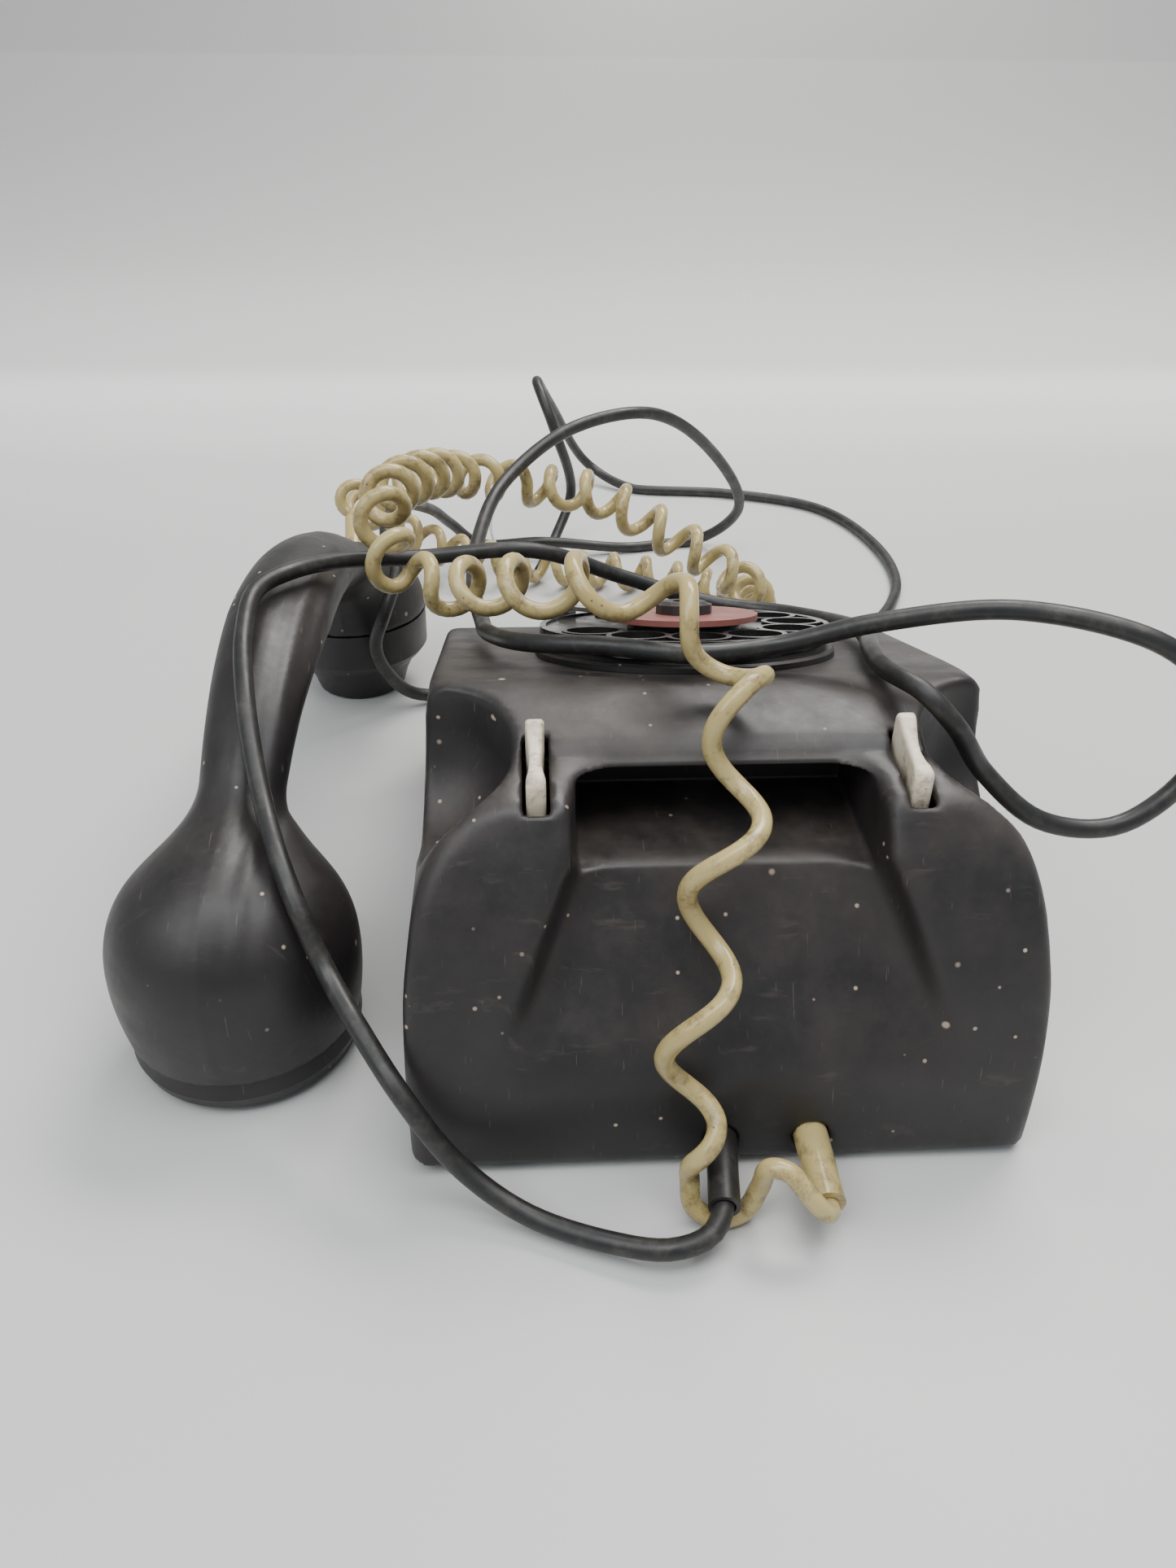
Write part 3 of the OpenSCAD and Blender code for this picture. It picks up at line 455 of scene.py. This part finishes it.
# ---------------------------------------------------------------- materials
class Mat:
    """A material built node by node."""

    def __init__(self, name):
        self.mat = bpy.data.materials.new(name)
        self.mat.use_nodes = True
        self.tree = self.mat.node_tree
        self.shader = self.tree.nodes["Principled BSDF"]
        self.where = self.node("ShaderNodeTexCoord").outputs["Object"]

    def node(self, kind, **values):
        """A new node with these properties."""
        n = self.tree.nodes.new(kind)
        for key, value in values.items():
            setattr(n, key, value)
        return n

    def put(self, socket, value):
        """Link an output to the socket, or set a plain value on it."""
        if hasattr(value, "is_output"):
            self.tree.links.new(value, socket)
        else:
            socket.default_value = value

    def noise(self, scale, detail=4, rough=0.6, stretch=None, seed=0):
        n = self.node("ShaderNodeTexNoise", noise_dimensions="4D")
        self.put(n.inputs["Vector"], self.stretched(stretch) if stretch else self.where)
        self.put(n.inputs["Scale"], scale)
        self.put(n.inputs["Detail"], detail)
        self.put(n.inputs["Roughness"], rough)
        self.put(n.inputs["W"], seed)
        return n.outputs["Fac"]

    def stretched(self, scale):
        n = self.node("ShaderNodeMapping")
        self.put(n.inputs["Vector"], self.where)
        n.inputs["Scale"].default_value = scale
        n.inputs["Rotation"].default_value = (0.4, 0.3, 0.5)
        return n.outputs["Vector"]

    def ramp(self, value, low, high, a=0.0, b=1.0):
        """The value mapped from low..high to a..b."""
        n = self.node("ShaderNodeMapRange")
        keys = ("Value", "From Min", "From Max", "To Min", "To Max")
        for key, v in zip(keys, (value, low, high, a, b)):
            self.put(n.inputs[key], v)
        return n.outputs["Result"]

    def math(self, how, a, b=0.0):
        n = self.node("ShaderNodeMath", operation=how, use_clamp=(how != "SUBTRACT"))
        self.put(n.inputs[0], a)
        self.put(n.inputs[1], b)
        return n.outputs[0]

    def mix(self, factor, a, b):
        n = self.node("ShaderNodeMix", data_type="RGBA")
        self.put(n.inputs[0], factor)
        self.put(n.inputs[6], a if hasattr(a, "is_output") else (*a, 1))
        self.put(n.inputs[7], b if hasattr(b, "is_output") else (*b, 1))
        return n.outputs[2]

    def specks(self, scale, size, share, seed=0.0):
        """Scattered round specks, 1 on a speck.

        size is a fraction of a cell, and share is the part of the cells that have one.
        """
        shift = self.node("ShaderNodeMapping")
        self.put(shift.inputs["Vector"], self.where)
        shift.inputs["Location"].default_value = (seed, seed * 0.7, seed * 1.3)
        n = self.node("ShaderNodeTexVoronoi")
        self.put(n.inputs["Vector"], shift.outputs["Vector"])
        self.put(n.inputs["Scale"], scale)
        pick = self.node("ShaderNodeSeparateColor")
        self.put(pick.inputs[0], n.outputs["Color"])
        near = self.ramp(n.outputs["Distance"], size, size * 0.55)
        return self.math("MULTIPLY", near, self.math("LESS_THAN", pick.outputs[0], share))

    def upward(self):
        """How far the surface faces up, from -1 to 1."""
        n = self.node("ShaderNodeNewGeometry")
        s = self.node("ShaderNodeSeparateXYZ")
        self.put(s.inputs[0], n.outputs["Normal"])
        return s.outputs["Z"]

    def bump(self, height, strength, distance=0.0004):
        n = self.node("ShaderNodeBump")
        self.put(n.inputs["Height"], height)
        n.inputs["Strength"].default_value = strength
        n.inputs["Distance"].default_value = distance
        self.tree.links.new(n.outputs["Normal"], self.shader.inputs["Normal"])

    def done(self, color, rough, metallic=0.0):
        self.put(self.shader.inputs["Base Color"], color)
        self.put(self.shader.inputs["Roughness"], rough)
        self.shader.inputs["Metallic"].default_value = metallic
        self.shader.inputs["Specular IOR Level"].default_value = 0.5
        return self.mat


def moulding(name, base, warm, dust, dust_share, specks=0.16):
    """Old black moulding: cloudy colour, dust on top, streaks, scratches and specks."""
    m = Mat(name)
    cloud = m.noise(14, 5, 0.62)
    fine = m.noise(420, 3, 0.6, seed=2.0)
    color = m.mix(m.ramp(cloud, 0.35, 0.7), base, warm)
    settle = m.math("MULTIPLY", m.ramp(m.upward(), 0.1, 0.95),
                    m.ramp(m.noise(38, 6, 0.7, seed=4.0), 0.42, 0.72))
    settle = m.math("MULTIPLY", settle, dust_share)
    color = m.mix(settle, color, dust)
    streak = m.ramp(m.noise(60, 4, 0.7, (1.0, 9.0, 1.2), 7.0), 0.6, 0.74, 0, 0.25)
    color = m.mix(streak, color, dust)
    scratch = m.ramp(m.noise(150, 2, 0.5, (14.0, 0.6, 1.0), 3.0), 0.69, 0.73, 0, 0.4)
    color = m.mix(scratch, color, (0.16, 0.13, 0.11))
    dots = m.math("MAXIMUM", m.specks(85, 0.085, specks * 2.6),
                  m.specks(210, 0.12, specks * 1.5, 5.0))
    dots = m.math("MULTIPLY", dots, m.ramp(m.noise(17, 2, seed=9.0), 0.4, 0.6, 0.35, 1))
    color = m.mix(dots, color, (0.55, 0.42, 0.31))
    rough = m.ramp(m.noise(55, 5, 0.65, seed=6.0), 0.3, 0.72, 0.34, 0.58)
    rough = m.math("ADD", rough, m.math("MULTIPLY", settle, 0.35))
    m.bump(m.math("ADD", m.math("MULTIPLY", fine, 0.5), m.math("MULTIPLY", dots, 0.8)), 0.25)
    return m.done(color, rough)


def simple(name, a, b, r0, r1, scale=60, metallic=0.0, mark_tint=None, amount=0.4):
    """Colour clouded from a to b and roughness from r0 to r1, with patches of grime."""
    m = Mat(name)
    color = m.mix(m.ramp(m.noise(scale, 5, 0.65), 0.35, 0.68), a, b)
    rough = m.ramp(m.noise(scale * 1.7, 4, 0.6, seed=3.0), 0.3, 0.7, r0, r1)
    if mark_tint:
        dirt = m.ramp(m.noise(scale * 2.6, 6, 0.72, seed=8.0), 0.5, 0.7, 0, amount)
        color = m.mix(dirt, color, mark_tint)
    m.bump(m.noise(scale * 9, 3, 0.6, seed=1.0), 0.15, 0.0002)
    return m.done(color, rough, metallic)


def ivory(name, a, b, mark_tint, amount, r0, r1):
    """Old pale plastic, dirty in patches, with painted shade darkening the faces that look down, and
    fine dark specks.
    """
    m = Mat(name)
    color = m.mix(m.ramp(m.noise(45, 4, 0.6), 0.35, 0.7), a, b)
    patches = m.ramp(m.noise(170, 6, 0.72, seed=5.0), 0.5, 0.68, 0, amount)
    color = m.mix(patches, color, mark_tint)
    # painted shade: faces that look down are mixed towards the dark tint, standing in for shadow
    painted_shade_under = m.math("MULTIPLY", m.ramp(m.upward(), 0.1, -0.9, 0, 0.75),
                   m.ramp(m.noise(90, 4, seed=2.0), 0.35, 0.6))
    color = m.mix(painted_shade_under, color, mark_tint)
    dots = m.specks(420, 0.13, 0.2, 2.0)
    color = m.mix(m.math("MULTIPLY", dots, 0.8), color, (0.05, 0.035, 0.02))
    rough = m.ramp(m.noise(120, 4, seed=7.0), 0.3, 0.7, r0, r1)
    m.bump(m.noise(600, 3, 0.6, seed=1.0), 0.12, 0.0002)
    return m.done(color, rough)


black_body = moulding("body_bakelite", (0.0115, 0.0105, 0.0115), (0.024, 0.019, 0.018),
                      (0.15, 0.12, 0.095), 0.36)
black_hand = moulding("handset_bakelite", (0.013, 0.0115, 0.0115), (0.022, 0.0175, 0.017),
                      (0.11, 0.088, 0.075), 0.18, 0.12)
MATS = {
    "moulding": black_body,
    "base_paint": simple("base_paint", (0.012, 0.012, 0.012), (0.03, 0.026, 0.022), 0.45, 0.7,
                         mark_tint=(0.09, 0.06, 0.04)),
    "plate_black": simple("plate_black", (0.014, 0.013, 0.013), (0.03, 0.026, 0.024), 0.25, 0.5,
                          mark_tint=(0.13, 0.1, 0.08)),
    "gloss_black": simple("gloss_black", (0.009, 0.009, 0.01), (0.02, 0.018, 0.018), 0.12, 0.32,
                          mark_tint=(0.1, 0.085, 0.07), amount=0.1),
    "red_disc": simple("red_disc", (0.30, 0.105, 0.085), (0.22, 0.07, 0.06), 0.35, 0.6,
                       mark_tint=(0.12, 0.07, 0.05), amount=0.5),
    "chrome": simple("chrome", (0.72, 0.71, 0.69), (0.6, 0.58, 0.55), 0.08, 0.25, metallic=1.0,
                     mark_tint=(0.25, 0.2, 0.15), amount=0.3),
    "steel": simple("steel", (0.5, 0.5, 0.5), (0.36, 0.35, 0.34), 0.28, 0.5, metallic=1.0),
    "brass": simple("brass", (0.6, 0.44, 0.2), (0.42, 0.29, 0.13), 0.25, 0.45, metallic=1.0),
    "dark_plastic": simple("dark_plastic", (0.03, 0.03, 0.03), (0.05, 0.045, 0.04), 0.4, 0.6),
    "ivory": ivory("lever_ivory", (0.86, 0.76, 0.6), (0.74, 0.62, 0.45), (0.12, 0.065, 0.035),
                   0.85, 0.3, 0.55),
    "copper_wire": simple("copper_wire", (0.45, 0.18, 0.09), (0.3, 0.12, 0.06), 0.25, 0.45,
                          metallic=1.0),
    "can": simple("can", (0.55, 0.56, 0.55), (0.45, 0.45, 0.44), 0.3, 0.5, metallic=1.0),
    "board": simple("board", (0.12, 0.06, 0.03), (0.18, 0.09, 0.045), 0.4, 0.6),
    "rubber_black": simple("line_rubber", (0.012, 0.012, 0.012), (0.024, 0.022, 0.02), 0.34, 0.55,
                           scale=80, mark_tint=(0.14, 0.12, 0.1), amount=0.3),
    "cord_beige": ivory("cord_beige", (0.53, 0.425, 0.19), (0.43, 0.33, 0.13), (0.10, 0.06, 0.025),
                        0.8, 0.14, 0.3),
    "wire_ends": simple("wire_white", (0.55, 0.53, 0.48), (0.4, 0.38, 0.34), 0.3, 0.5, scale=300),
}
green_wire = simple("wire_green", (0.05, 0.22, 0.18), (0.08, 0.3, 0.24), 0.3, 0.5, scale=300)


def paint(obj, material):
    """Put the material on every slot of the object."""
    if not obj.material_slots:
        obj.data.materials.append(material)
    for s in obj.material_slots:
        s.material = material


subparts = {s["node"]: s["material_slot"] for s in frame["record"]["subparts"]}
for name, obj in NODES.items():
    paint(obj, MATS[subparts[name]])
for name in ("receiver_cap", "transmitter_cap"):
    paint(NODES[name], black_hand)
paint(body_obj, black_body)
paint(hand_obj, black_hand)
paint(line_cord, MATS["rubber_black"])
paint(curly_cord, MATS["cord_beige"])
for obj in levers:
    paint(obj, MATS["ivory"])
paint(ends[0], MATS["wire_ends"])
paint(ends[1], green_wire)

# small rounded edges on the pieces that show, with their widths
EDGES = {"finger_stop": 0.35, "hub_nut": 0.4, "centre_disc": 0.3, "finger_wheel": 0.3,
         "receiver_cap": 0.3, "transmitter_cap": 0.3, "line_gland": 0.3, "coil_gland": 0.4,
         "handset_gland": 0.4, "dial_bezel": 0.3, "base_plate": 0.3}
for name, width in EDGES.items():
    bevel = NODES[name].modifiers.new("edges", "BEVEL")
    bevel.width = width * MM
    bevel.segments = 2
    bevel.limit_method = "ANGLE"
    bevel.angle_limit = 0.6
    bevel.harden_normals = True


# ---------------------------------------------------------------- floor and light
# The floor sweeps up behind the object, in metres: (y, z) from the camera's side to the top.
SWEEP_Y, SWEEP_R, FLOOR_HALF = -0.95, 0.6, 3
bend = [(SWEEP_Y - SWEEP_R * np.sin(a), SWEEP_R - SWEEP_R * np.cos(a))
        for a in np.linspace(0, np.pi / 2, 24)]
sweep = [(1.2, 0.0)] + bend + [(-1.55, 2.6)]
floor_mesh = bpy.data.meshes.new("floor")
floor_mesh.from_pydata([(x, y, z) for y, z in sweep for x in (-FLOOR_HALF, FLOOR_HALF)], [],
                       [(k, k + 1, k + 3, k + 2) for k in range(0, 2 * len(sweep) - 2, 2)])
floor_mesh.polygons.foreach_set("use_smooth", [True] * len(floor_mesh.polygons))
floor = add_object("floor", floor_mesh)

# Painted light and shade: its brightness changes with the distance z - y along the sweep, (distance,
# brightness), with a painted bright band on the floor behind the object and painted shade up the bend.
PAINTED_LIGHT = [(-0.3, 0.66), (0.0, 0.60), (0.25, 0.62), (0.37, 0.68), (0.454, 0.80), (0.53, 0.9),
         (0.6, 0.72), (0.76, 0.52), (1.06, 0.44), (1.5, 0.48)]
TONE_FROM, TONE_TO = -0.4, 1.6
TINT = (0.985, 0.98, 0.955)
floor_mat = Mat("floor")
axes = floor_mat.node("ShaderNodeSeparateXYZ")
floor_mat.put(axes.inputs[0], floor_mat.where)
along = floor_mat.math("SUBTRACT", axes.outputs["Z"], axes.outputs["Y"])
painted_light_ramp = floor_mat.node("ShaderNodeValToRGB")
floor_mat.put(painted_light_ramp.inputs[0], floor_mat.ramp(along, TONE_FROM, TONE_TO))
stops = painted_light_ramp.color_ramp.elements
for k, (at, tone) in enumerate(PAINTED_LIGHT):
    stop = stops[k] if k < 2 else stops.new(0.5)
    stop.position = (at - TONE_FROM) / (TONE_TO - TONE_FROM)
    stop.color = (tone * TINT[0], tone * TINT[1], tone * TINT[2], 1)
painted_light_ramp.color_ramp.interpolation = "EASE"
dirt = floor_mat.math("MULTIPLY", floor_mat.specks(55, 0.035, 0.05, 3.0), 0.7)
floor_color = floor_mat.mix(dirt, painted_light_ramp.outputs[0], (0.1, 0.08, 0.06))
paint(floor, floor_mat.done(floor_color, 0.42))

world = bpy.data.worlds.new("world")
bpy.context.scene.world = world
world.use_nodes = True
world.node_tree.nodes["Background"].inputs[0].default_value = (0.62, 0.68, 0.74, 1)
world.node_tree.nodes["Background"].inputs[1].default_value = 0.66


def lamp(name, at, aim, size, power, color=(1, 1, 1)):
    """A soft rectangular light at a point, turned to another."""
    light = bpy.data.lights.new(name, "AREA")
    light.shape = "RECTANGLE"
    light.size, light.size_y = size
    light.energy = power
    light.color = color
    obj = add_object(name, light)
    z = np.array(at, float) - np.array(aim, float)
    z /= np.linalg.norm(z)
    x = np.cross((0, 0, 1) if abs(z[2]) < 0.99 else (0, 1, 0), z)
    x /= np.linalg.norm(x)
    y = np.cross(z, x)
    obj.matrix_world = as_matrix(x, y, z, at)


lamp("key", (-0.5, -0.9, 1.5), (0, -0.05, 0.03), (1.2, 0.5), 30, (1.0, 0.98, 0.95))
lamp("fill", (1.0, 0.7, 1.3), (0, 0, 0.03), (0.9, 0.9), 11, (0.95, 0.98, 1.0))
lamp("top", (-0.1, 0.25, 1.5), (0, 0, 0), (1.4, 0.7), 17)
